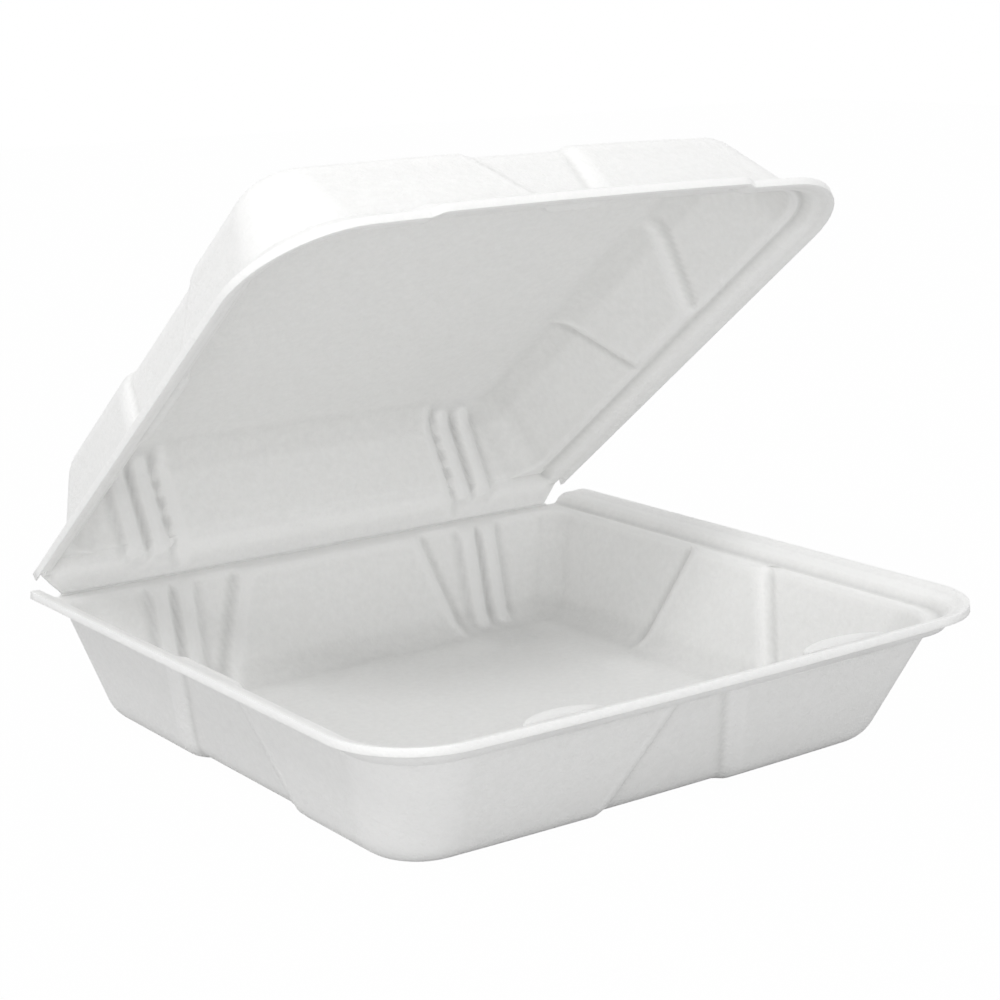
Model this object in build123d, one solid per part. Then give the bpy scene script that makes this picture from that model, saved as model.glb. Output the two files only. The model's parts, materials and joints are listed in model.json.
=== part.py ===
from build123d import *
import os
from dataclasses import dataclass
from math import atan2, degrees, radians, tan

# Hinged foam food box, lid standing open. Millimetres, +Z up, origin at the
# centre of the base's underside. X runs along the hinge, the locks face -Y.
# Each half is drawn with its open side up, then the lid is turned over.

# Sheet
sheet = 2.5                # foam thickness everywhere but the crushed fold
overrun = 20.0             # how far cutting shapes run past what they cut
pocket_bend = 12.0         # outside radius between the walls and the floor or roof

# Base
base_width = 236.0         # across the rim
base_front = 115.0         # origin to the middle of the rim's front edge
base_height = 48.0         # underside to the rim's top edge
base_side_foot = 23.0      # rim edge to the foot of the side walls, outside
base_front_foot = 30.0     # rim edge to the foot of the front wall, outside
base_back_foot = 13.0      # fold line to the foot of the back wall, outside
base_rim_corner = 32.0
base_wall_corner = 25.0
base_foot_corner = 19.0

# Lid
lid_width = 231.0
lid_front = 110.0
lid_height = 38.0
lid_side_foot = 21.0
lid_front_foot = 26.0
lid_back_foot = 8.5
lid_rim_corner = 34.0
lid_wall_corner = 25.0
lid_foot_corner = 18.0

# Rim section, shared by both halves
lip_land = 0.8             # flat on top of the outer lip
flange = 6.0               # rim edge to the top of the shoulder
dish = 1.6                 # how far the flange falls towards the shoulder
shoulder_run = 3.5         # width of the sloping shoulder
shoulder_drop = 4.2        # height of the sloping shoulder
ledge = 2.5                # foot of the shoulder to the wall
front_bow = 3.0            # how far the front bows out in the middle

# Stiffening panels pressed into the walls
panel_depth = 2.5
panel_flank = 3.5          # width of a panel's sloping edge
side_panel_middle = 6.0    # behind the origin
side_panel_rim_width = 38.0
side_panel_foot_width = 72.0
front_panel_rim_width = 21.0
base_front_panel_foot_width = 54.0
lid_front_panel_foot_width = 44.0
base_back_panel_rim_width = 76.0
base_back_panel_foot_width = 104.0
lid_back_panel_width = 118.0

# Twin ribs on both sides of each back panel
rib_radius = 2.3           # of the groove outside
rib_pitch = 8.4
base_rib_middle = 66.0     # middle of the pair from the middle of the wall
lid_rib_middle = 70.0
rib_foot_room = 9.0        # underside to the rib's end
rib_rim_room = 5.0         # ledge to the rib's end

# Fold
fold_place = 115.0         # origin to the fold line
back_ledge = 6.0           # inside of the back wall to the fold line
crushed = 1.0              # foam thickness left at the fold
crush_width = 3.0
fold_gap = 0.3             # between the two halves at the fold line
fold_bevel = 0.5           # end of each crushed strip, sloped so that it can open
apron_height = 6.6         # lid's sloping apron, fold line to back wall
apron_lean = 1.2           # how far the lid's back wall leans out below the apron
apron_clear = 7.0          # end of the lid's apron to the base's shoulder
nest = 0.2                 # how deep the closed lid's lip sits in the base's dish

# Rim corners cut off beside the fold
base_ear_cut_x = 16.0
base_ear_cut_y = 13.0
lid_ear_cut_x = 9.0
lid_ear_cut_y = 7.0
lid_ear_end = 3.0          # end of the lid's rim to the fold line
ear_round = 5.0

# Locks: tongues on the lid's lip enter slots in pads on the base's rim
lock_place = 54.0
pad_width = 28.0
pad_reach = 5.0            # flange to the pad's inner edge
pad_corner = 4.5
slot_length = 25.0
slot_width = 1.8
tongue_length = 22.0
tongue_thickness = 1.0
tongue_drop = 4.5          # below the lid's lip
tongue_round = 2.0
tongue_inset = 0.8         # edge of the lid's lip to the tongue

# Angles in degrees
quarter_turn = 90.0
wall_lean = 20.0           # about how far the walls lean out
open_angle = 37.5          # how far the lid stands open at rest

ledge_drop = dish + shoulder_drop
ledge_inset = flange + shoulder_run + ledge
fold_height = base_height - ledge_drop


@dataclass
class Half:
    width: float
    front: float
    height: float
    side_foot: float
    front_foot: float
    back_foot: float
    rim_corner: float
    wall_corner: float
    foot_corner: float


base_half = Half(
    base_width,
    base_front,
    base_height,
    base_side_foot,
    base_front_foot,
    base_back_foot,
    base_rim_corner,
    base_wall_corner,
    base_foot_corner,
)
lid_half = Half(
    lid_width,
    lid_front,
    lid_height,
    lid_side_foot,
    lid_front_foot,
    lid_back_foot,
    lid_rim_corner,
    lid_wall_corner,
    lid_foot_corner,
)


def plan(half, side, front, back, corner, back_corner):
    """Plan of one level: side and front are insets from the rim's edge, back is
    the inset from the fold line. The front edge bows out in the middle."""
    x = half.width / 2 - side
    y_back = fold_place - back
    y_front = front + front_bow - half.front
    straight = Polyline((-x, y_front), (-x, y_back), (x, y_back), (x, y_front))
    bowed = ThreePointArc((x, y_front), (0, y_front - front_bow), (-x, y_front))
    face = make_face(straight.edges() + bowed.edges())
    face = fillet(face.vertices().group_by(Axis.Y)[0], corner)
    if back_corner:
        face = fillet(face.vertices().group_by(Axis.Y)[-1], back_corner)
    return face


def stack(levels):
    """Solid with straight sides through a list of (height, plan) levels."""
    return loft([Pos(0, 0, height) * level for height, level in levels], ruled=True)


def pocket(half, inset, inside):
    """Form of the pocket from floor to ledge: the sheet's outer face, or its inner
    face, moved in by inset."""
    skin = sheet if inside else 0
    move = skin + inset
    rim_side = ledge_inset - sheet + move
    rim_back = back_ledge - sheet + move
    foot_side = half.side_foot + move
    foot_front = half.front_foot + move
    foot_back = half.back_foot + move
    foot_corner = half.foot_corner - move
    wall_corner = half.wall_corner - move
    lower = plan(half, foot_side, foot_front, foot_back, foot_corner, foot_corner)
    upper = plan(half, rim_side, rim_side, rim_back, wall_corner, wall_corner)
    top = half.height - ledge_drop - sheet + skin
    form = stack([(skin, lower), (top, upper)])
    return fillet(form.faces().sort_by(Axis.Z)[0].edges(), pocket_bend - skin)


def wall_inset(half, turn, height):
    """Inset of a wall's outer face at a height, without the bend at its foot. turn
    is 0 for the front wall, 90 for the right, 180 for the back."""
    foot = {0: half.front_foot, 90: half.side_foot, 180: half.back_foot}[turn]
    rim_inset = (back_ledge if turn == 180 else ledge_inset) - sheet
    wall_top = half.height - ledge_drop - sheet
    return foot + (rim_inset - foot) * height / wall_top


def panel(half, turn, middle, rim_width, foot_width, inside):
    """Region of one panel: a prism with sloping flanks that follows the wall and
    its bend, open on the outside."""
    skin = sheet if inside else 0
    rate = panel_flank / panel_depth
    grow = skin * tan(atan2(panel_depth, panel_flank) / 2)
    bend = pocket_bend * tan(radians(quarter_turn - wall_lean) / 2)
    top = half.height - ledge_drop
    foot = wall_inset(half, turn, 0) + bend
    sections = []
    for height, inset in (
        (0, foot),
        (bend, wall_inset(half, turn, bend)),
        (top, wall_inset(half, turn, top)),
    ):
        width = foot_width + (rim_width - foot_width) * height / top
        wide = width / 2 + grow + rate * overrun
        narrow = width / 2 + grow - rate * 2 * panel_depth
        outer = inset + skin - overrun
        inner = inset + skin + 2 * panel_depth
        section = Polyline(
            (middle - wide, outer),
            (middle + wide, outer),
            (middle + narrow, inner),
            (middle - narrow, inner),
            close=True,
        )
        sections.append((height, make_face(section)))
    return wall_frame(half, turn) * stack(sections)


def wall_frame(half, turn):
    """Frame with x along a wall and y inwards from the rim's edge."""
    distance = {0: half.front, 90: half.width / 2, 180: fold_place}[turn]
    return Rot(0, 0, turn) * Pos(0, -distance, 0)


def rib(half, x, radius):
    """Round bar with round ends along the outer face of the back wall."""
    ends = []
    for height in (rib_foot_room, half.height - ledge_drop - rib_rim_room):
        ends.append(Vector(x, fold_place - wall_inset(half, 180, height), height))
    line = Line(*ends)
    bar = sweep(Plane(origin=ends[0], z_dir=line % 0) * Circle(radius), path=line)
    return bar + [Pos(*end) * Sphere(radius) for end in ends]


def pressed(half, panels, rib_middle, inside):
    """One face of the pocket with its panels and ribs pressed in."""
    skin = sheet if inside else 0
    form = pocket(half, 0, inside)
    slice_ = form - pocket(half, panel_depth, inside)
    for turn, middle, rim_width, foot_width in panels:
        region = panel(half, turn, middle, rim_width, foot_width, inside)
        form -= slice_ & region
        if turn == 90:
            form -= slice_ & mirror(region, about=Plane.YZ)
    for side in (-1, 1):
        for step in (-1, 1):
            x = side * rib_middle + step * rib_pitch / 2
            form -= rib(half, x, rib_radius + skin)
    return form


def rim_band(half):
    """Lip, dished flange, shoulder and ledge: one section swept along both sides
    and round the front, past the fold line."""
    x = -half.width / 2
    y = fold_place + overrun
    z = half.height
    top_face = Polyline(
        (x, y, z),
        (x + lip_land, y, z),
        (x + flange, y, z - dish),
        (x + flange + shoulder_run, y, z - ledge_drop),
        (x + ledge_inset, y, z - ledge_drop),
    )
    section = offset(top_face, amount=sheet, kind=Kind.INTERSECTION, side=Side.RIGHT)
    edge = plan(half, 0, 0, -overrun, half.rim_corner, 0)
    path = Wire(edge.edges().sort_by(Axis.Y)[:-1])
    return sweep(make_face(section), path=path)


def ledge_plate(half, back):
    """Flat sheet at ledge level from the shoulder's foot to back, short of the fold."""
    inset = flange + shoulder_run
    corner = half.rim_corner - inset
    level = plan(half, inset, inset, back, corner, 0)
    return Pos(0, 0, half.height - ledge_drop) * extrude(level, -sheet)


def ear_trim(half, cut_x, cut_y, end):
    """Everything inside the rim's plan, with the corners beside the fold cut off."""
    x = half.width / 2
    y_end = fold_place - end
    y_front = -half.front - overrun
    outline = Polyline(
        (-x, y_front),
        (-x, y_end - cut_y),
        (cut_x - x, y_end),
        (x - cut_x, y_end),
        (x, y_end - cut_y),
        (x, y_front),
        close=True,
    )
    keep = make_face(outline)
    ears = keep.vertices().filter_by(lambda v: abs(v.Y - y_end + cut_y) < ear_round)
    keep = fillet(ears, ear_round)
    return Pos(0, 0, -overrun) * extrude(keep, half.height + 2 * overrun)


def strip_cut(half):
    """Cutter that crushes the end of a strip lying along -y from the fold, with
    its inner face at height zero."""
    end = -fold_gap / 2
    profile = Polyline(
        (end, overrun),
        (end, 0),
        (end - fold_bevel, -crushed),
        (-crush_width, -crushed),
        (-crush_width - sheet + crushed, -sheet),
        (-crush_width - sheet + crushed, -2 * sheet),
        (overrun, -2 * sheet),
        (overrun, overrun),
        close=True,
    )
    return extrude(Plane.YZ * make_face(profile), half.width, both=True)


def make_base():
    """Tray: pocket, rim, hinge strip and lock pads."""
    panels = (
        (0, 0, front_panel_rim_width, base_front_panel_foot_width),
        (90, side_panel_middle, side_panel_rim_width, side_panel_foot_width),
        (180, 0, base_back_panel_rim_width, base_back_panel_foot_width),
    )
    outside = pressed(base_half, panels, base_rib_middle, False)
    inside = pressed(base_half, panels, base_rib_middle, True)
    tray = outside + ledge_plate(base_half, 0) + rim_band(base_half) - inside
    for side in (-1, 1):
        tray = add_pad(tray, side * lock_place)
    tray &= ear_trim(base_half, base_ear_cut_x, base_ear_cut_y, 0)
    return tray - Pos(0, fold_place, fold_height) * strip_cut(base_half)


def front_edge(half, x):
    """Place of the bowed rim's front edge at x."""
    share = 2 * x / half.width
    return -half.front + front_bow * share * share


def add_pad(tray, x):
    """Raised pad that carries a lock slot, hollow underneath like the rim."""
    edge = front_edge(base_half, x)
    level = base_height - dish
    pad = pad_form(x, edge + flange / 2, edge + flange + pad_reach, 0)
    hollow = pad_form(x, edge + flange / 2, edge + flange + pad_reach, sheet)
    raised = Pos(0, 0, level) * extrude(pad, -ledge_drop + dish - sheet)
    under = Pos(0, 0, level - sheet) * extrude(hollow, -ledge_drop + dish - sheet)
    slot = SlotOverall(slot_length, slot_width)
    middle = front_edge(lid_half, x) + tongue_inset + tongue_thickness / 2
    through = Pos(x, middle, level + overrun) * extrude(slot, -2 * overrun)
    return tray + raised - under - through


def pad_form(x, near, far, inset):
    """Plan of a lock pad between two places, its inner corners rounded."""
    depth = far - near - inset
    face = Pos(x, near + depth / 2) * Rectangle(pad_width - 2 * inset, depth)
    return fillet(face.vertices().group_by(Axis.Y)[-1], pad_corner - inset)


def tongue(x):
    """Locking tongue that stands on the lid's lip."""
    near = front_edge(lid_half, x) + tongue_inset
    root = lid_height - sheet / 2
    blank = Pos(0, (root + lid_height + tongue_drop) / 2) * Rectangle(
        tongue_length, lid_height + tongue_drop - root
    )
    blank = fillet(blank.vertices().group_by(Axis.Y)[-1], tongue_round)
    upright = Plane(origin=(x, near, 0), x_dir=(1, 0, 0), z_dir=(0, -1, 0))
    return upright * extrude(blank, -tongue_thickness)


def apron():
    """Lid's back wall above the ledge and the apron that slopes out to the fold."""
    axis_height = lid_height + ledge_drop - nest
    level = lid_height - ledge_drop
    wall_y = fold_place - back_ledge
    fold = Vector(0, fold_place, axis_height)
    knee = Vector(0, wall_y + apron_lean, axis_height - apron_height)
    root = Vector(0, wall_y, level - sheet)
    inner_face = Polyline(root, knee, fold)
    section = make_face(offset(inner_face, amount=sheet, kind=Kind.INTERSECTION, side=Side.RIGHT))
    reach = base_width / 2 - flange - shoulder_run - apron_clear
    wall = extrude(section, reach, both=True)
    run = fold - knee
    lean = atan2(run.Z, run.Y)
    return wall - Pos(*fold) * Rot(degrees(lean), 0, 0) * strip_cut(lid_half)


def make_lid():
    """Lid with its open side up: pocket, rim, apron and locking tongues."""
    panels = (
        (0, 0, front_panel_rim_width, lid_front_panel_foot_width),
        (90, side_panel_middle, side_panel_rim_width, side_panel_foot_width),
        (180, 0, lid_back_panel_width, lid_back_panel_width),
    )
    outside = pressed(lid_half, panels, lid_rib_middle, False)
    inside = pressed(lid_half, panels, lid_rib_middle, True)
    plate = ledge_plate(lid_half, back_ledge - sheet)
    cover = outside + plate + rim_band(lid_half) - inside
    cover &= ear_trim(lid_half, lid_ear_cut_x, lid_ear_cut_y, lid_ear_end)
    return cover + apron() + [tongue(side * lock_place) for side in (-1, 1)]


def stand_open(cover):
    """Turn the lid over onto the base, then swing it open about the fold."""
    closed_height = base_height - nest + lid_height
    closed = Pos(0, 0, closed_height) * Rot(0, 2 * quarter_turn, 0) * cover
    fold_axis = Axis((0, fold_place, fold_height), (1, 0, 0))
    return closed.rotate(fold_axis, -open_angle)


os.makedirs("parts", exist_ok=True)
nodes = {"base": make_base(), "lid": stand_open(make_lid())}
for name, shape in nodes.items():
    print(name, len(shape.solids()), shape.is_valid, round(shape.volume), shape.bounding_box())
    export_step(shape.solids()[0], "parts/" + name + ".step")
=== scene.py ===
# %% [markdown]
# # A hinged foam food box
#
# The object is a square takeaway box, pressed in one go from a sheet of foamed
# plastic: a tray, a lid, and between them a strip crushed thin enough to fold.
# We dress the measured model with two softly pressed shells, give them the skin
# of foam, and light them as a catalogue would, on pure white.

# %% Load the measured model
import json
import math

import bmesh
import bpy
from mathutils import Matrix, Vector


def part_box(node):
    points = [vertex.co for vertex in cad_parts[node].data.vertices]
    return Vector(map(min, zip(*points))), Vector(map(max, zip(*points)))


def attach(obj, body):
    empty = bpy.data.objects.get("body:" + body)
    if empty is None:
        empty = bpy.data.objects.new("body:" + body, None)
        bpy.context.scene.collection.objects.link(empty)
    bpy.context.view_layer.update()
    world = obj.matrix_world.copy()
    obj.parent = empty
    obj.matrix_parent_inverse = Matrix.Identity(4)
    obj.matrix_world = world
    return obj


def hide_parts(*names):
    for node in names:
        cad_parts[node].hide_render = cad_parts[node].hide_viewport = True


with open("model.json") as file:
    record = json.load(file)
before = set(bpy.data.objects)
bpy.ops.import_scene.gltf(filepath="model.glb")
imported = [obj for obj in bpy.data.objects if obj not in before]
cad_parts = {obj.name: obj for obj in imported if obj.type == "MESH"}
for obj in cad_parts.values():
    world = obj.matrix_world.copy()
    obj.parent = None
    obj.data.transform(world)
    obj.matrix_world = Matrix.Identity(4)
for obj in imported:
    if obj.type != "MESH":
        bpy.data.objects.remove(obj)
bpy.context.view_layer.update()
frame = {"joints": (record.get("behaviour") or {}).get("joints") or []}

# %% [markdown]
# ## Sizes
#
# Both halves are thought of in millimetres, open side up. The overall sizes come
# from the measured model. The rim has one section for both halves: a thin lip, a
# flange that dips inwards, a sloping shoulder and a narrow ledge above the wall.
# A panel is given by its centre, its half width at the rim and at the foot.

# %% Driving sizes
MM = 0.001
SHEET = 2.5
base_low, base_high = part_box("base")
hinge = frame["joints"][0]
FOLD_Y = hinge["pos_m"][1] / MM
FOLD_Z = hinge["pos_m"][2] / MM
OPEN_ANGLE = math.radians(-hinge["range_deg"][0])

LIP, FLANGE, DISH = 0.8, 6.0, 1.6
SHOULDER_RUN, SHOULDER_DROP = 3.5, 4.2
LEDGE = 2.5
LEDGE_INSET = FLANGE + SHOULDER_RUN + LEDGE
LEDGE_DROP = DISH + SHOULDER_DROP
BACK_LEDGE = 6.0
BOW = 3.0
POCKET_BEND = 12.0 - SHEET
PRESS, FLANK = 2.8, 3.4
SWELL = 1.0
LID_SINK = 0.2
KNEE_DROP = 6.6

BASE = dict(
    width=(base_high.x - base_low.x) / MM + 2 * SWELL,
    front=-base_low.y / MM,
    height=base_high.z / MM,
    foot=dict(side=24.7, front=32.5, back=15.5),
    rim_corner=28.0,
    wall_corner=22.5,
    foot_corner=16.5,
    back_corners=(9.0, 9.5),
    ledge_back=(5.8, 5.2),
    end=FOLD_Y - 0.2,
    ear=(7.5, 8.0),
    side_panel=(6.0, 19.0, 36.0),
    front_panel=(0.0, 10.5, 27.0),
    back_panel=(0.0, 38.0, 52.0),
    ribs=66.0,
)
LID = dict(
    width=227.5,
    front=106.5,
    height=39.5,
    foot=dict(side=23.0, front=28.5, back=11.0),
    rim_corner=34.0,
    wall_corner=22.5,
    foot_corner=13.5,
    back_corners=(11.5, 12.5),
    ledge_back=(5.95, 5.9),
    end=FOLD_Y - 0.7,
    ear=(4.0, 3.5),
    side_panel=(6.0, 19.0, 36.0),
    front_panel=(0.0, 10.5, 22.0),
    back_panel=(0.0, 59.0, 59.0),
    ribs=70.0,
)
CLOSED_Z = BASE["height"] - LID_SINK + LID["height"]
LID["axis"] = CLOSED_Z - FOLD_Z
LID["knee"] = LID["axis"] - KNEE_DROP
print("tray", BASE["width"], "x", BASE["front"] + FOLD_Y, "x", BASE["height"], "mm")

# %% [markdown]
# ## Helpers for working as by hand
#
# Every step below is one that a modeller takes in edit mode: add, select by
# place, move, bevel, bridge. A few small helpers keep those steps short.

# %% Edit-mode helpers
ops = bpy.ops


def deselect():
    """Leave nothing selected in object mode."""
    if bpy.context.object and bpy.context.object.mode != "OBJECT":
        ops.object.mode_set(mode="OBJECT")
    ops.object.select_all(action="DESELECT")


def edit(piece):
    """Open one piece in edit mode with nothing selected."""
    deselect()
    bpy.context.view_layer.objects.active = piece
    piece.select_set(True)
    ops.object.mode_set(mode="EDIT")
    ops.mesh.select_all(action="DESELECT")


def pick(piece, kind, test):
    """Select the verts, edges or faces that pass the test, and nothing else."""
    mesh = bmesh.from_edit_mesh(piece.data)
    ops.mesh.select_all(action="DESELECT")
    ops.mesh.select_mode(type={"verts": "VERT", "edges": "EDGE", "faces": "FACE"}[kind])
    for part in getattr(mesh, kind):
        if test(part):
            part.select_set(True)
    mesh.select_flush_mode()
    bmesh.update_edit_mesh(piece.data)


def middle(part):
    """Centre of an edge or a face."""
    return sum((v.co for v in part.verts), Vector()) / len(part.verts)


def finish_modifier(piece, kind, **settings):
    """Add a modifier, set it and apply it."""
    deselect()
    bpy.context.view_layer.objects.active = piece
    piece.select_set(True)
    modifier = piece.modifiers.new(kind.title(), kind)
    for name, value in settings.items():
        setattr(modifier, name, value)
    ops.object.modifier_apply(modifier=modifier.name)


def paint(piece, name, weight):
    """Vertex group with a weight worked out for each point, as a brush would leave it."""
    group = piece.vertex_groups.new(name=name)
    for vertex in piece.data.vertices:
        value = weight(vertex.co)
        if value > 0:
            group.add([vertex.index], min(value, 1.0), "REPLACE")
    return name


def push(piece, name, weight, direction, distance, soften=0):
    """Displace the painted points along one axis, then let the foam round the form off."""
    paint(piece, name, weight)
    finish_modifier(
        piece, "DISPLACE", vertex_group=name, direction=direction, strength=distance, mid_level=0.0
    )
    if soften:
        finish_modifier(piece, "SMOOTH", vertex_group=name, factor=0.5, iterations=soften)


def ease(t):
    """Smooth step from 0 to 1."""
    t = min(max(t, 0.0), 1.0)
    return t * t * (3 - 2 * t)


# %% [markdown]
# ## The sheet, ring by ring
#
# A pressed sheet is a stack of outlines: the floor's edge, the bend, the walls,
# the ledge, the shoulder, the flange and the lip. Each outline starts as a plane
# whose corners are bevelled round. Its face is thrown away, and the rings are
# bridged one to the next. A spun or extruded form would not do, because every
# wall leans by its own amount and every level has its own corner.

# %% One ring
CORNER_STEPS = 12
SIDE_STEPS = 176
LONG_EDGE = 40.0


def add_ring(piece, half, level):
    """Rounded outline at one level, with as many points as every other ring."""
    x = half["width"] / 2 - level["side"]
    front = BOW + level["front"] - half["front"]
    back = FOLD_Y - level["back"]
    ops.mesh.select_all(action="DESELECT")
    ops.mesh.primitive_plane_add(size=2.0, location=(0, 0, 0))
    ops.transform.resize(value=(x, (back - front) / 2, 1), center_override=(0, 0, 0))
    ops.transform.translate(value=(0, (back + front) / 2, level["z"]))
    for near_front, radius, profile in (
        (True, level["corner"], 0.5),
        (False, level["back_corner"], level.get("back_profile", 0.5)),
    ):
        pick(
            piece,
            "verts",
            lambda v: v.link_faces and (v.co.y < (front + back) / 2) == near_front,
        )
        ops.mesh.bevel(offset=radius, segments=CORNER_STEPS, affect="VERTICES", profile=profile)
    pick(piece, "edges", lambda e: e.link_faces and e.calc_length() > LONG_EDGE)
    ops.mesh.subdivide(number_cuts=SIDE_STEPS - 1)
    mesh = bmesh.from_edit_mesh(piece.data)
    ring = mesh.verts.layers.int["ring"]
    for vert in mesh.verts:
        if vert.link_faces:
            vert[ring] = level["number"]
    bmesh.update_edit_mesh(piece.data)
    pick(piece, "faces", lambda f: True)
    ops.mesh.delete(type="ONLY_FACE")


# %% [markdown]
# The levels themselves: the bend at the foot of the walls is an arc, the walls
# are straight, and each crease of the rim is eased by a level on either side.

# %% The levels of one half
BEND_STEPS, BEND_ANGLE = 7, 66
WALL_STEPS, WALL_STOP = 20, 1.0
BACK_REACH = 12.0


def wall_inset(half, wall, z):
    """Inset of a wall's inner face at a height, with the bend at its foot."""
    top = half["height"] - LEDGE_DROP
    rim = BACK_LEDGE if wall == "back" else LEDGE_INSET
    foot = half["foot"][wall]
    lean = math.atan2(foot - rim, top - SHEET)
    take = POCKET_BEND * math.tan((math.pi / 2 - lean) / 2)
    rise = z - SHEET
    if rise < take * math.cos(lean):
        return foot + take - math.sqrt(max(POCKET_BEND**2 - (POCKET_BEND - rise) ** 2, 0))
    return foot + (rim - foot) * rise / (top - SHEET)


def levels(half):
    """All levels from the floor's edge to the lip."""
    top = half["height"] - LEDGE_DROP
    heights = []
    bend = math.radians(BEND_ANGLE)
    for i in range(BEND_STEPS + 1):
        heights.append(SHEET + POCKET_BEND * (1 - math.cos(bend * i / BEND_STEPS)))
    start = heights[-1]
    for i in range(1, WALL_STEPS + 1):
        heights.append(start + (top - WALL_STOP - start) * i / WALL_STEPS)
    found = []
    for z in heights:
        inset = {wall: wall_inset(half, wall, z) for wall in ("side", "front", "back")}
        share = (z - SHEET) / (top - SHEET)
        corner = half["foot_corner"] + (half["wall_corner"] - half["foot_corner"]) * share
        straight = half["foot"]["side"] + (LEDGE_INSET - half["foot"]["side"]) * share
        foot_back, top_back = half["back_corners"]
        back_corner = foot_back + (top_back - foot_back) * share
        extra = inset["side"] - straight
        found.append(dict(inset, z=z, corner=corner - extra, back_corner=back_corner - extra))
    lip = half["height"]
    for back, inset, z in (
        (half["ledge_back"][0], LEDGE_INSET - 0.2, top - 0.3),
        (half["ledge_back"][1], LEDGE_INSET - 0.8, top),
        (None, FLANGE + SHOULDER_RUN + 0.7, top),
        (None, FLANGE + SHOULDER_RUN - 0.2, top + 0.3),
        (None, FLANGE + SHOULDER_RUN - 1.2, top + 1.5),
        (None, FLANGE + 1.2, lip - DISH - 1.5),
        (None, FLANGE + 0.3, lip - DISH - 0.4),
        (None, FLANGE - 0.6, lip - DISH + 0.1),
        (None, FLANGE - 2.2, lip - DISH + 0.6),
        (None, LIP + 1.2, lip - 0.35),
        (None, LIP, lip - 0.05),
        (None, 0.0, lip),
    ):
        level = dict(side=inset, front=inset, z=z, corner=half["rim_corner"] - inset)
        if back is None:
            back = inset / 2 - BACK_REACH
            level["back_corner"] = BACK_LEDGE + top_back - back
            level["back_profile"] = 1.0
        else:
            level["corner"] = half["wall_corner"] + 0.5
            level["back_corner"] = top_back + 0.5
        level["back"] = back
        found.append(level)
    for number, level in enumerate(found, 1):
        level["number"] = number
    return found


print("levels in a half:", len(levels(BASE)))

# %% [markdown]
# Bridging takes two rings at a time, so the quads run straight from floor to lip.

# %% Bridge the rings
def loft(name, half):
    """Sheet of one half as a stack of bridged rings."""
    deselect()
    ops.mesh.primitive_plane_add(size=2.0, location=(0, 0, 0))
    piece = bpy.context.object
    piece.name = piece.data.name = name
    edit(piece)
    ops.mesh.select_all(action="SELECT")
    ops.mesh.delete(type="VERT")
    mesh = bmesh.from_edit_mesh(piece.data)
    mesh.verts.layers.int.new("ring")
    bmesh.update_edit_mesh(piece.data)
    rings = levels(half)
    for level in rings:
        add_ring(piece, half, level)
    for lower, upper in zip(rings, rings[1:]):
        wanted = (lower["number"], upper["number"])
        mesh = bmesh.from_edit_mesh(piece.data)
        ring = mesh.verts.layers.int["ring"]
        pick(
            piece,
            "edges",
            lambda e: e.verts[0][ring] == e.verts[1][ring] and e.verts[0][ring] in wanted,
        )
        ops.mesh.bridge_edge_loops()
    ops.object.mode_set(mode="OBJECT")
    print(name, "lofted:", len(piece.data.polygons), "faces")
    return piece


# %% [markdown]
# ## Pressing the floor, panels and ribs
#
# The floor is drawn in from its edge, row by row. Then the panels are pressed
# inwards, as the tool does it: the points of a wall are painted with a weight,
# displaced, and smoothed a little. A bevelled inset would give the same plan, but
# painted weights keep the walls' even quads, and foam has no sharp edge anywhere.

# %% Floor, panels and ribs
RIB_PITCH, RIB_HALF, RIB_HEIGHT = 9.6, 4.9, 3.2
RIB_FOOT, RIB_TOP = 4.0, 1.5
FOOT_FADE = 16.0
FLOOR_ROWS, FLOOR_ROW = 9, 2.4
PANEL_SOFTEN, RIB_SOFTEN = 3, 6
BOW_START, BOW_RUN = 10.0, 60.0
RIM_SLACK, NEAR = 0.9, 0.05


def panel_weight(half, wall, along, z):
    """How far a panel is pressed in at a place on its wall, from 0 to 1."""
    centre, rim_half, foot_half = half[wall + "_panel"]
    share = min(max(z / (half["height"] - LEDGE_DROP), 0), 1)
    edge = foot_half + (rim_half - foot_half) * share
    return ease((edge - abs(along - centre)) / FLANK + 0.5)


def apron_fade(half, z):
    """1 up to the knee of the apron, and down to 0 at the fold."""
    return min(max((half["axis"] - z) / (half["axis"] - half["knee"]), 0), 1)


def wall_band(half, co, wall):
    """1 on a wall and its bend, fading out across the floor."""
    out = {"left": -co.x, "right": co.x, "front": -co.y, "back": co.y}[wall]
    kind = "side" if wall in ("left", "right") else wall
    reach = {"side": half["width"] / 2, "front": half["front"] - BOW, "back": FOLD_Y}[kind]
    rim = {"side": LEDGE_INSET, "front": LEDGE_INSET, "back": BACK_LEDGE}[kind]
    inset = reach - out
    if wall == "back" and "knee" in half and co.z > half["height"] - LEDGE_DROP:
        return apron_fade(half, co.z)
    if inset < rim - RIM_SLACK or co.z > half["height"] - LEDGE_DROP + NEAR:
        return 0.0
    edge = wall_inset(half, kind, SHEET)
    return 1 - min(max((inset - edge) / FOOT_FADE, 0), 1)


def press_panels(piece, half, walls):
    """Press the panels of the named walls in."""
    for wall, direction, distance in (
        ("left", "X", PRESS),
        ("right", "X", -PRESS),
        ("front", "Y", PRESS),
        ("back", "Y", -PRESS),
    ):
        if wall not in walls:
            continue
        kind = "side" if wall in ("left", "right") else wall

        def weight(co):
            along = co.y if kind == "side" else co.x
            return panel_weight(half, kind, along, co.z) * wall_band(half, co, wall)

        push(piece, "panel_" + wall, weight, direction, distance, soften=PANEL_SOFTEN)


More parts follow.
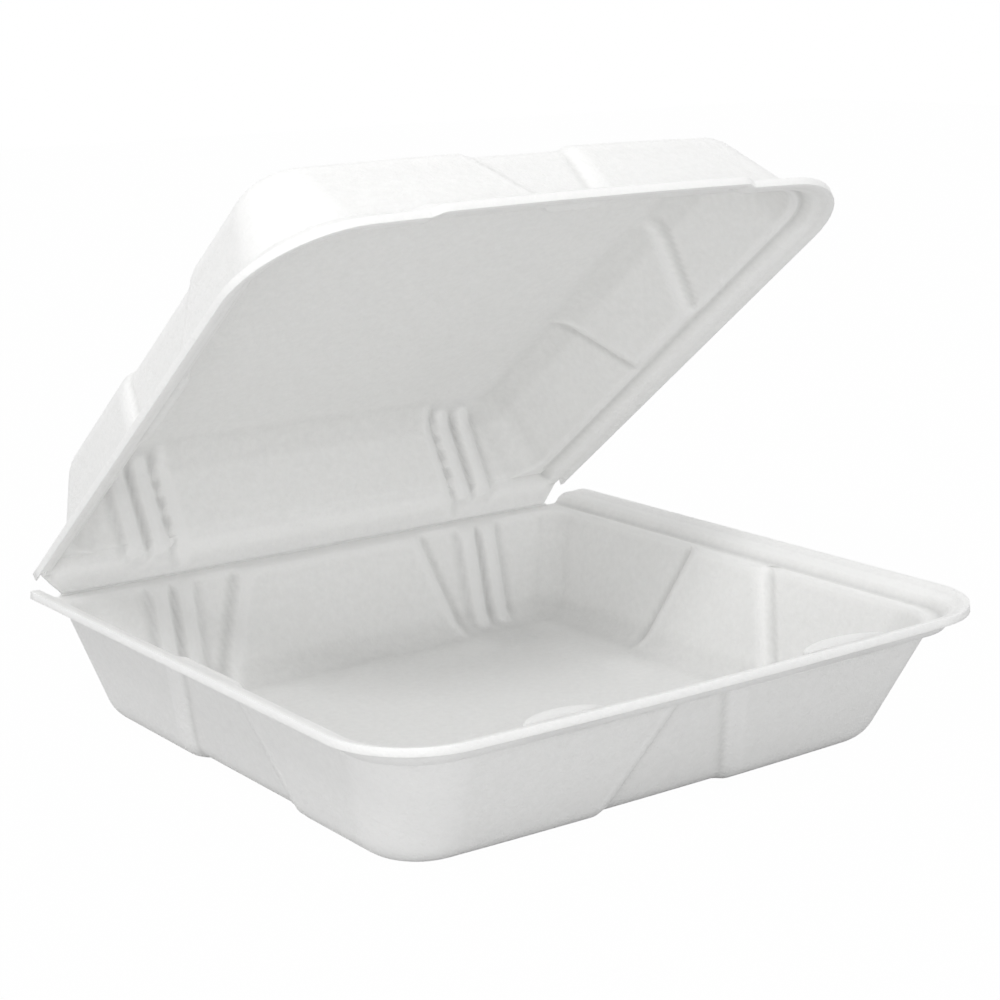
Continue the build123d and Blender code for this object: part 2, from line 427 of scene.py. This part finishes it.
def press_ribs(piece, half):
    """Raise two rounded ribs on each side of the back panel."""
    top = half.get("knee", half["height"] - LEDGE_DROP)

    def weight(co):
        if FOLD_Y - co.y > wall_inset(half, "back", SHEET):
            return 0.0
        found = 0.0
        for step in (-0.5, 0.5):
            off = abs(abs(co.x) - half["ribs"] - step * RIB_PITCH) / RIB_HALF
            found = max(found, math.cos(min(off, 1) * math.pi / 2) ** 2)
        return found * ease((co.z - SHEET) / RIB_FOOT) * ease((top - co.z) / RIB_TOP)

    push(piece, "ribs", weight, "Y", -RIB_HEIGHT, soften=RIB_SOFTEN)


def fill_floor(piece):
    """Draw the innermost ring in, row by row, and close the flat middle."""
    edit(piece)
    mesh = bmesh.from_edit_mesh(piece.data)
    ring = mesh.verts.layers.int["ring"]
    inner = [v.co for v in mesh.verts if v[ring] == 1]
    half_x = max(co.x for co in inner)
    front, back = min(co.y for co in inner), max(co.y for co in inner)
    centre = (0, (front + back) / 2, SHEET)
    half_y = (back - front) / 2
    pick(piece, "edges", lambda e: e.verts[0][ring] == 1 and e.verts[1][ring] == 1)
    for _ in range(FLOOR_ROWS):
        ops.mesh.extrude_edges_move(TRANSFORM_OT_translate={"value": (0, 0, 0)})
        ops.transform.resize(
            value=(1 - FLOOR_ROW / half_x, 1 - FLOOR_ROW / half_y, 1), center_override=centre
        )
        half_x, half_y = half_x - FLOOR_ROW, half_y - FLOOR_ROW
    ops.mesh.edge_face_add()
    ops.mesh.select_all(action="SELECT")
    ops.mesh.normals_make_consistent(inside=False)
    mesh = bmesh.from_edit_mesh(piece.data)
    floor = max(mesh.faces, key=lambda f: len(f.verts))
    if floor.normal.z < 0:
        ops.mesh.flip_normals()
    ops.object.mode_set(mode="OBJECT")


def bow_front(piece, half):
    """Push the middle of the front outwards, floor and all."""

    def weight(co):
        x = co.x / (half["width"] / 2)
        return max(1 - x * x, 0) * ease((-co.y - BOW_START) / BOW_RUN)

    push(piece, "bow", weight, "Y", -BOW)


# %% [markdown]
# ## Cutting the sheet at the fold
#
# The press trims the sheet along the fold and cuts the rim's corners off, so
# that they can't catch when the box opens. A bisect does the same here.

# %% Trim the back
STRIP = 20.0
CORNER_START = 60.0


def slice_off(piece, test, point, normal):
    """Bisect the faces that pass the test and clear what lies beyond."""
    pick(piece, "faces", test)
    ops.mesh.bisect(plane_co=point, plane_no=normal, clear_outer=True)


def trim_back(piece, half):
    """Cut the back straight at its end and the corners off beside it."""
    x, end, (cut_x, cut_y) = half["width"] / 2, half["end"], half["ear"]
    edit(piece)
    slice_off(piece, lambda f: middle(f).y > end - STRIP, (0, end, 0), (0, 1, 0))
    for side in (-1, 1):
        slice_off(
            piece,
            lambda f: middle(f).y > CORNER_START and middle(f).x * side > CORNER_START,
            (side * (x - cut_x), end, 0),
            (side * cut_y, cut_x, 0),
        )
    ops.object.mode_set(mode="OBJECT")


# %% [markdown]
# ## Thickness and soft edges
#
# The inner face is the one that was modelled. Solidify gives the foam behind it,
# thinner along the crushed fold and among the ribs, and a bevel rounds every cut
# edge. At a tight corner the offset can throw a point too far, so such points are
# brought back among their neighbours.

# %% Thicken
OVERSHOOT = 1.45
THINNED = 0.6
MERGE = 0.03
EDGE_ROUND, EDGE_STEPS = 0.7, 3
CUT_ANGLE = math.radians(66)
RIBS_FADE = 4.0
RIBS_START, RIBS_RUN = 45.0, 8.0


def stretched(half, co):
    """1 among the ribs, where the foam is stretched thin, fading to 0 beside them."""
    near = ease((RIB_PITCH + RIBS_FADE - abs(abs(co.x) - half["ribs"])) / RIBS_FADE)
    return near * ease((co.y - FOLD_Y + RIBS_START) / RIBS_RUN)


def thicken(piece, half, crush):
    """Give the sheet its foam; crush tells how near the fold a point is, 0 to 1."""
    edit(piece)
    ops.mesh.select_all(action="SELECT")
    ops.mesh.remove_doubles(threshold=MERGE)
    ops.object.mode_set(mode="OBJECT")
    group = paint(piece, "foam", lambda co: 1 - THINNED * max(crush(co), stretched(half, co)))
    sheet = [vertex.co.copy() for vertex in piece.data.vertices]
    finish_modifier(
        piece,
        "SOLIDIFY",
        thickness=SHEET,
        offset=-1.0,
        use_even_offset=True,
        vertex_group=group,
        thickness_vertex_group=0.0,
    )
    settle(piece, sheet)
    finish_modifier(
        piece,
        "BEVEL",
        width=EDGE_ROUND,
        segments=EDGE_STEPS,
        limit_method="ANGLE",
        angle_limit=CUT_ANGLE,
    )


def settle(piece, sheet):
    """Where the offset threw a point too far, give it its neighbours' mean offset."""
    points = piece.data.vertices
    count = len(sheet)
    kept, moved = (0, count) if (points[0].co - sheet[0]).length < 0.001 else (count, 0)
    offset = [points[moved + i].co - sheet[i] for i in range(count)]
    wild = {i for i in range(count) if offset[i].length > OVERSHOOT * SHEET}
    near = {i: [] for i in wild}
    for edge in piece.data.edges:
        a, b = (index - kept for index in edge.vertices)
        for i, j in ((a, b), (b, a)):
            if i in wild and 0 <= j < count and j not in wild:
                near[i].append(offset[j])
    for i, found in near.items():
        if found:
            points[moved + i].co = sheet[i] + sum(found, Vector()) / len(found)
    print(piece.name, "points settled:", len(wild))


def smooth(piece):
    """Shade smooth, with a limit that only the cut edges pass."""
    deselect()
    bpy.context.view_layer.objects.active = piece
    piece.select_set(True)
    ops.object.shade_smooth_by_angle(angle=CUT_ANGLE)


def to_metres(piece):
    """Bring a finished piece from millimetres to metres, place in its mesh."""
    piece.data.transform(Matrix.Scale(MM, 4))
    for group in list(piece.vertex_groups):
        piece.vertex_groups.remove(group)
    piece.data.update()


# %% [markdown]
# ## The tray
#
# The real tray is formed in one stroke. Here the strokes come one by one: floor,
# panels, ribs, the slight bow of the front, the trimmed back, then the foam.

# %% Tray
WALLS = ("left", "right", "front", "back")
CRUSH_RUN = 2.0
TRAY_CRUSH, LID_CRUSH = 4.0, 3.5
tray = loft("tray", BASE)
fill_floor(tray)
press_panels(tray, BASE, WALLS)
press_ribs(tray, BASE)
bow_front(tray, BASE)
trim_back(tray, BASE)
thicken(tray, BASE, lambda co: ease((co.y - FOLD_Y + TRAY_CRUSH) / CRUSH_RUN))
print("tray:", len(tray.data.polygons), "faces")

# %% [markdown]
# ## Lock pads
#
# Two half ovals of the front rim stay level with the flange: the lid's lip locks
# there. Each is a flattened cylinder, cut along the flange, with a soft upper
# edge, joined to the tray. Displacing the sheet would tear its even thickness at
# such a steep step, so the pads are pieces of their own until they are joined.

# %% Pads
PADS = ((-55.6, 14.0), (52.2, 17.0))
PAD_ROOT, PAD_FAR = -108.6, -100.4
PAD_DEPTH, PAD_SLANT, PAD_SINK = 5.0, 2.0, 0.1
PAD_POINTS, PAD_ROUND, PAD_STEPS = 72, 1.0, 4


def half_oval(name, centre, reach, drop):
    """Half oval plate whose straight side leans under the flange."""
    top = BASE["height"] - DISH - PAD_SINK
    deselect()
    ops.mesh.primitive_cylinder_add(
        vertices=PAD_POINTS, radius=1.0, depth=drop, location=(0, 0, 0)
    )
    piece = bpy.context.object
    piece.name = piece.data.name = name
    edit(piece)
    ops.mesh.select_all(action="SELECT")
    ops.transform.resize(value=(reach, PAD_FAR - PAD_ROOT, 1), center_override=(0, 0, 0))
    ops.transform.translate(value=(centre, PAD_ROOT, top - drop / 2))
    ops.mesh.bisect(
        plane_co=(0, PAD_ROOT, top),
        plane_no=(0, -drop, -PAD_SLANT),
        clear_outer=True,
        use_fill=True,
    )
    pick(
        piece,
        "edges",
        lambda e: min(v.co.z for v in e.verts) > top - 0.01 and middle(e).y > PAD_ROOT + 0.1,
    )
    ops.mesh.bevel(offset=PAD_ROUND, segments=PAD_STEPS, affect="EDGES", profile=0.5)
    ops.mesh.select_all(action="SELECT")
    ops.mesh.normals_make_consistent(inside=False)
    ops.object.mode_set(mode="OBJECT")
    return piece


pads = [
    half_oval("pad_" + str(number), centre, reach, PAD_DEPTH)
    for number, (centre, reach) in enumerate(PADS)
]
deselect()
for piece in (*pads, tray):
    piece.select_set(True)
bpy.context.view_layer.objects.active = tray
ops.object.join()
smooth(tray)
print("tray with pads:", len(tray.data.polygons), "faces")

# %% [markdown]
# ## The lid and its apron
#
# The lid is the same kind of sheet. Behind its back wall the sheet slopes out to
# the fold as an apron, extruded edge by edge. Then the lid is turned over and
# swung open, as the measured model stands.

# %% Apron
APRON_END, FOLD_END = 110.2, 106.0
APRON_START = FOLD_Y - LID["ledge_back"][1] + 0.02
KNEE_LEAN = 1.6
KNEE_ROWS, FOLD_ROWS = 3, 5
FOLD_GAP = 0.15
NEAR_BACK, NEAR_SIDE = 90.0, 90.0
LID_BACK = 100.0


def add_apron(piece):
    """Extrude the back wall up to a knee and from there out to the fold."""
    level = LID["height"] - LEDGE_DROP
    knee, axis = LID["knee"], LID["axis"]

    def near_back(part):
        return middle(part).y > NEAR_BACK and middle(part).z > level - 0.2

    edit(piece)
    for side in (-1, 1):
        pick(piece, "faces", lambda f: near_back(f) and middle(f).x * side > NEAR_SIDE)
        ops.mesh.bisect(plane_co=(side * APRON_END, 0, 0), plane_no=(1, 0, 0))
    slice_off(
        piece,
        lambda f: near_back(f) and abs(middle(f).x) < APRON_END,
        (0, APRON_START, 0),
        (0, 1, 0),
    )
    pick(
        piece,
        "edges",
        lambda e: e.is_boundary
        and abs(middle(e).y - APRON_START) < 0.01
        and abs(middle(e).x) < APRON_END,
    )
    out = FOLD_Y - BACK_LEDGE + KNEE_LEAN - APRON_START
    for row in range(KNEE_ROWS):
        ops.mesh.extrude_edges_move(TRANSFORM_OT_translate={"value": (0, out / KNEE_ROWS, 0)})
        left = KNEE_ROWS - row
        ops.transform.resize(value=(1, 1, (left - 1) / left), center_override=(0, 0, knee))
    fold_y, fold_z = FOLD_Y - FOLD_GAP, axis - FOLD_GAP
    run = Vector((0, fold_y - APRON_START - out, fold_z - knee)) / FOLD_ROWS
    for _ in range(FOLD_ROWS):
        ops.mesh.extrude_edges_move(TRANSFORM_OT_translate={"value": run})
    for side in (-1, 1):
        slice_off(
            piece,
            lambda f: middle(f).y > APRON_START + out
            and middle(f).z > knee
            and middle(f).x * side > NEAR_SIDE,
            (side * APRON_END, 0, knee),
            (side * (axis - knee), 0, APRON_END - FOLD_END),
        )
    ops.mesh.select_all(action="SELECT")
    ops.mesh.remove_doubles(threshold=MERGE)
    ops.mesh.normals_make_consistent(inside=False)
    mesh = bmesh.from_edit_mesh(piece.data)
    floor = max(mesh.faces, key=lambda f: len(f.verts))
    if floor.normal.z < 0:
        ops.mesh.flip_normals()
    ops.object.mode_set(mode="OBJECT")


# %% [markdown]
# Panels of the lid are pressed in two goes. The back one comes after the apron,
# because it runs on into it, up to the knee.

# %% Lid
lid = loft("lid_shell", LID)
fill_floor(lid)
press_panels(lid, LID, ("left", "right", "front"))
bow_front(lid, LID)
trim_back(lid, LID)
add_apron(lid)
press_panels(lid, LID, ("back",))
press_ribs(lid, LID)
thicken(
    lid,
    LID,
    lambda co: ease((co.z - LID["axis"] + LID_CRUSH) / CRUSH_RUN) * (co.y > LID_BACK),
)
smooth(lid)
print("lid:", len(lid.data.polygons), "faces")

# %% [markdown]
# ## The crushed fold
#
# Between the halves the foam is pressed to a thin strip. A round bead on the fold's
# own axis stands for it, since it looks the same however far the lid is turned. A
# flat strip would have to bend with the lid.

# %% Fold
BEAD, BEAD_POINTS, BEAD_CUTS = 0.6, 16, 60
BEAD_END, BEAD_ROUND = FOLD_END - 1.0, 0.3
deselect()
ops.mesh.primitive_cylinder_add(
    vertices=BEAD_POINTS, radius=BEAD, depth=2 * BEAD_END, location=(0, 0, 0)
)
fold = bpy.context.object
fold.name = fold.data.name = "fold"
edit(fold)
ops.mesh.select_all(action="SELECT")
ops.transform.rotate(value=math.pi / 2, orient_axis="Y", center_override=(0, 0, 0))
ops.transform.translate(value=(0, FOLD_Y, FOLD_Z))
pick(fold, "edges", lambda e: e.calc_length() > LONG_EDGE)
ops.mesh.subdivide(number_cuts=BEAD_CUTS)
pick(fold, "edges", lambda e: abs(middle(e).x) > BEAD_END - 0.01)
ops.mesh.bevel(offset=BEAD_ROUND, segments=2, affect="EDGES")
ops.object.mode_set(mode="OBJECT")
smooth(fold)
print("fold bead:", len(fold.data.polygons), "faces")

# %% [markdown]
# The lid was made open side up, like the tray. On the real box it is folded over
# the tray and swings about the crushed strip, so its mesh is turned the same way.
# Then all pieces go from millimetres to metres.

# %% Turn the lid over and swing it open
def stand_open(piece):
    """Closed, the lid lies upside down on the tray; then it swings about the fold."""
    turn = Matrix.Translation((0, 0, CLOSED_Z)) @ Matrix.Rotation(math.pi, 4, "Y")
    axis = Matrix.Translation((0, FOLD_Y, FOLD_Z))
    swing = axis @ Matrix.Rotation(-OPEN_ANGLE, 4, "X") @ axis.inverted()
    piece.data.transform(swing @ turn)
    piece.data.update()


stand_open(lid)
for piece in (tray, lid, fold):
    to_metres(piece)
print("lid opened by", round(math.degrees(OPEN_ANGLE), 1), "degrees from shut")

# %% [markdown]
# ## The skin of the foam
#
# The material is worked out with Math nodes. A small class lets the sums be
# written as sums, so that they can be read in one line each.

# %% Shader maths
class Value:
    """A socket that can be added, multiplied and so on, each adding a Math node."""

    def __init__(self, tree, socket):
        self.tree, self.socket = tree, socket

    def maths(self, operation, other):
        """Math node of this value and another."""
        return self.tree.add("ShaderNodeMath", dict(operation=operation), (self, other))

    def __add__(self, other):
        return self.maths("ADD", other)

    def __sub__(self, other):
        return self.maths("SUBTRACT", other)

    def __mul__(self, other):
        return self.maths("MULTIPLY", other)


class Tree:
    """The nodes of a material or of the world."""

    def __init__(self, material):
        material.use_nodes = True
        self.nodes = material.node_tree.nodes
        self.links = material.node_tree.links
        self.nodes.clear()

    def add(self, kind, settings=None, sockets=(), output=0):
        """Add a node: its settings first, then its sockets by order or by name."""
        node = self.nodes.new(kind)
        for name, value in (settings or {}).items():
            setattr(node, name, value)
        pairs = sockets.items() if isinstance(sockets, dict) else enumerate(sockets)
        for name, value in pairs:
            if isinstance(value, Value):
                self.links.new(value.socket, node.inputs[name])
            else:
                node.inputs[name].default_value = value
        return Value(self, node.outputs[output]) if node.outputs else None


# %% [markdown]
# Foamed plastic is white and faintly glossy. Its skin is a fine mosaic of pressed
# cells, with softer, broader hollows where the sheet stretched over the tool. Light
# goes a little way into it. Shade is painted into the creases and a highlight onto
# the ridges, from the surface's own curvature, which brings out the shallow forms of
# a white thing.

# %% Foam
FOAM_COLOUR = (0.97, 0.97, 0.96)
# The darker colour in the creases is painted shade: this share of the foam's colour.
PAINTED_SHADE_SHARE = 0.62
GRAIN, CELLS, HOLLOWS, MOTTLE = 1500.0, 800.0, 160.0, 420.0
BUMP_STRENGTH, BUMP_DEPTH = 0.55, 0.0006
# Strength of the painted crease shade and ridge highlight, of the random mottle, and the share on
# flat parts.
CURVE_SHADE_GAIN, MOTTLE_TINT, FLAT_SHARE = 14.0, 0.25, 0.86
ROUGH_SPREAD, ROUGH_LEAST = 0.25, 0.36
GLOW_SHARE, GLOW_DEPTH = 0.42, 0.004


def foam(name, colour):
    """White foam: fine pressed cells, broader dimples, a soft sheen, painted crease shade and
    ridge highlight.
    """
    material = bpy.data.materials.new(name)
    tree = Tree(material)
    place = tree.add("ShaderNodeTexCoord", output=3)
    grain = tree.add(
        "ShaderNodeTexNoise", None, {"Vector": place, "Scale": GRAIN, "Detail": 3.0}
    )
    cells = tree.add("ShaderNodeTexVoronoi", None, {"Vector": place, "Scale": CELLS})
    hollows = tree.add(
        "ShaderNodeTexNoise", None, {"Vector": place, "Scale": HOLLOWS, "Detail": 2.0}
    )
    height = grain * 0.5 + cells * 0.35 + hollows * 0.9
    bump = tree.add(
        "ShaderNodeBump",
        None,
        {"Strength": BUMP_STRENGTH, "Distance": BUMP_DEPTH, "Height": height},
    )
    mottle = tree.add(
        "ShaderNodeTexNoise", None, {"Vector": place, "Scale": MOTTLE, "Detail": 4.0}
    )
    ridge = tree.add("ShaderNodeNewGeometry", output=7)
    # Curvature paints shade into creases and a highlight onto ridges; the mottle is the foam's own
    # random tone.
    painted_shade_and_mottle = (ridge - 0.5) * CURVE_SHADE_GAIN + (mottle - 0.5) * MOTTLE_TINT + FLAT_SHARE
    shade = tree.add(
        "ShaderNodeMix",
        dict(data_type="RGBA", clamp_factor=True),
        {0: painted_shade_and_mottle, 6: (*[c * PAINTED_SHADE_SHARE for c in colour], 1), 7: (*colour, 1)},
        output=2,
    )
    rough = hollows * ROUGH_SPREAD + ROUGH_LEAST
    skin = tree.add(
        "ShaderNodeBsdfPrincipled",
        None,
        {
            "Base Color": shade,
            "Roughness": rough,
            "Normal": bump,
            "IOR": 1.45,
            "Specular IOR Level": 0.4,
            "Subsurface Weight": GLOW_SHARE,
            "Subsurface Radius": (1.0, 1.0, 1.0),
            "Subsurface Scale": GLOW_DEPTH,
        },
    )
    tree.add("ShaderNodeOutputMaterial", None, {"Surface": skin})
    return material


foam_skin = foam("foam_skin", FOAM_COLOUR)
for piece in (tray, lid, fold):
    piece.data.materials.clear()
    piece.data.materials.append(foam_skin)
print("foam skin on", tray.name, lid.name, "and", fold.name)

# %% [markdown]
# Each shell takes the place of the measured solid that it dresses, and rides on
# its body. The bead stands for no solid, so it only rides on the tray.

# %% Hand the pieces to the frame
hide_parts("base")
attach(tray, "tray")
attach(fold, "tray")
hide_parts("lid")
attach(lid, "cover")

# %% [markdown]
# ## Floor, light and camera
#
# The picture is a catalogue cut-out on pure white. The floor shows as white to the
# camera and keeps only a faint shadow of the box.

# %% Floor
WHITE_SHARE = 0.99
FLOOR_GREY = 0.6
deselect()
ops.mesh.primitive_plane_add(size=6.0, location=(0, 0, 0))
floor = bpy.context.object
floor.name = "floor"
white = bpy.data.materials.new("white_floor")
tree = Tree(white)
seen = tree.add("ShaderNodeLightPath")
diffuse = tree.add("ShaderNodeBsdfDiffuse", None, {"Color": (*[FLOOR_GREY] * 3, 1)})
glow = tree.add("ShaderNodeEmission", None, {"Color": (1, 1, 1, 1), "Strength": 1.0})
mix = tree.add("ShaderNodeMixShader", None, (seen * WHITE_SHARE, diffuse, glow))
tree.add("ShaderNodeOutputMaterial", None, {"Surface": mix})
floor.data.materials.append(white)
print("floor:", floor.name)

# %% [markdown]
# A studio tent lights the box from all sides: that is the world, pure white to the
# camera and a bit less bright to everything else. One soft lamp from the upper left
# and a weaker one from low in front bring the walls out.

# %% World and lamps
TENT, TENT_GLOSS = 0.76, 0.85
world = bpy.data.worlds.new("studio")
bpy.context.scene.world = world
tree = Tree(world)
seen = tree.add("ShaderNodeLightPath")
glossy = tree.add("ShaderNodeLightPath", output=3)
shown = tree.add("ShaderNodeMath", dict(operation="MAXIMUM"), (seen, glossy * TENT_GLOSS))
strength = shown * (1 - TENT) + TENT
sky = tree.add("ShaderNodeBackground", None, {"Color": (1, 1, 1, 1), "Strength": strength})
tree.add("ShaderNodeOutputWorld", None, {"Surface": sky})


def softbox(name, place, aim, size, power):
    """Place a square area lamp that looks at a point."""
    lamp = bpy.data.lights.new(name, "AREA")
    lamp.shape = "SQUARE"
    lamp.size = size
    lamp.energy = power
    holder = bpy.data.objects.new(name, lamp)
    bpy.context.scene.collection.objects.link(holder)
    holder.location = place
    holder.rotation_euler = (Vector(aim) - Vector(place)).to_track_quat("-Z", "Y").to_euler()
    print("lamp", name, "of", power, "W")


softbox("key", (-0.8, -0.55, 1.1), (0, 0, 0.05), 0.25, 5.0)
softbox("fill", (-0.9, -1.2, 0.15), (0, 0, 0.1), 0.4, 3.5)

# %% [markdown]
# The camera was found from the straight edges of the rim in the photograph. It
# stands in front and to the left, a little above the lid's front edge, and is
# rolled by about one degree.

# %% Camera
CAMERA_PLACE = (-406.54, -571.03, 242.18)
YAW, PITCH, ROLL = (math.radians(a) for a in (35.49, -13.009, -1.327))
FOCAL_PIXELS, FRAME_PIXELS, SENSOR = 2198.9, 1000.0, 36.0
camera = bpy.data.objects.new("camera", bpy.data.cameras.new("camera"))
bpy.context.scene.collection.objects.link(camera)
camera.data.sensor_width = SENSOR
camera.data.lens = FOCAL_PIXELS / FRAME_PIXELS * SENSOR
level_share = math.cos(PITCH)
ahead = Vector((math.sin(YAW) * level_share, math.cos(YAW) * level_share, math.sin(PITCH)))
right = Vector((math.cos(YAW), -math.sin(YAW), 0))
up = right.cross(ahead)
right, up = (
    math.cos(ROLL) * right + math.sin(ROLL) * up,
    -math.sin(ROLL) * right + math.cos(ROLL) * up,
)
turned = Matrix((right, up, -ahead)).transposed().to_4x4()
camera.matrix_world = Matrix.Translation(Vector(CAMERA_PLACE) * MM) @ turned
bpy.context.scene.camera = camera
print("camera lens:", round(camera.data.lens, 1), "mm")
bpy.context.scene.view_settings.view_transform = "Standard"
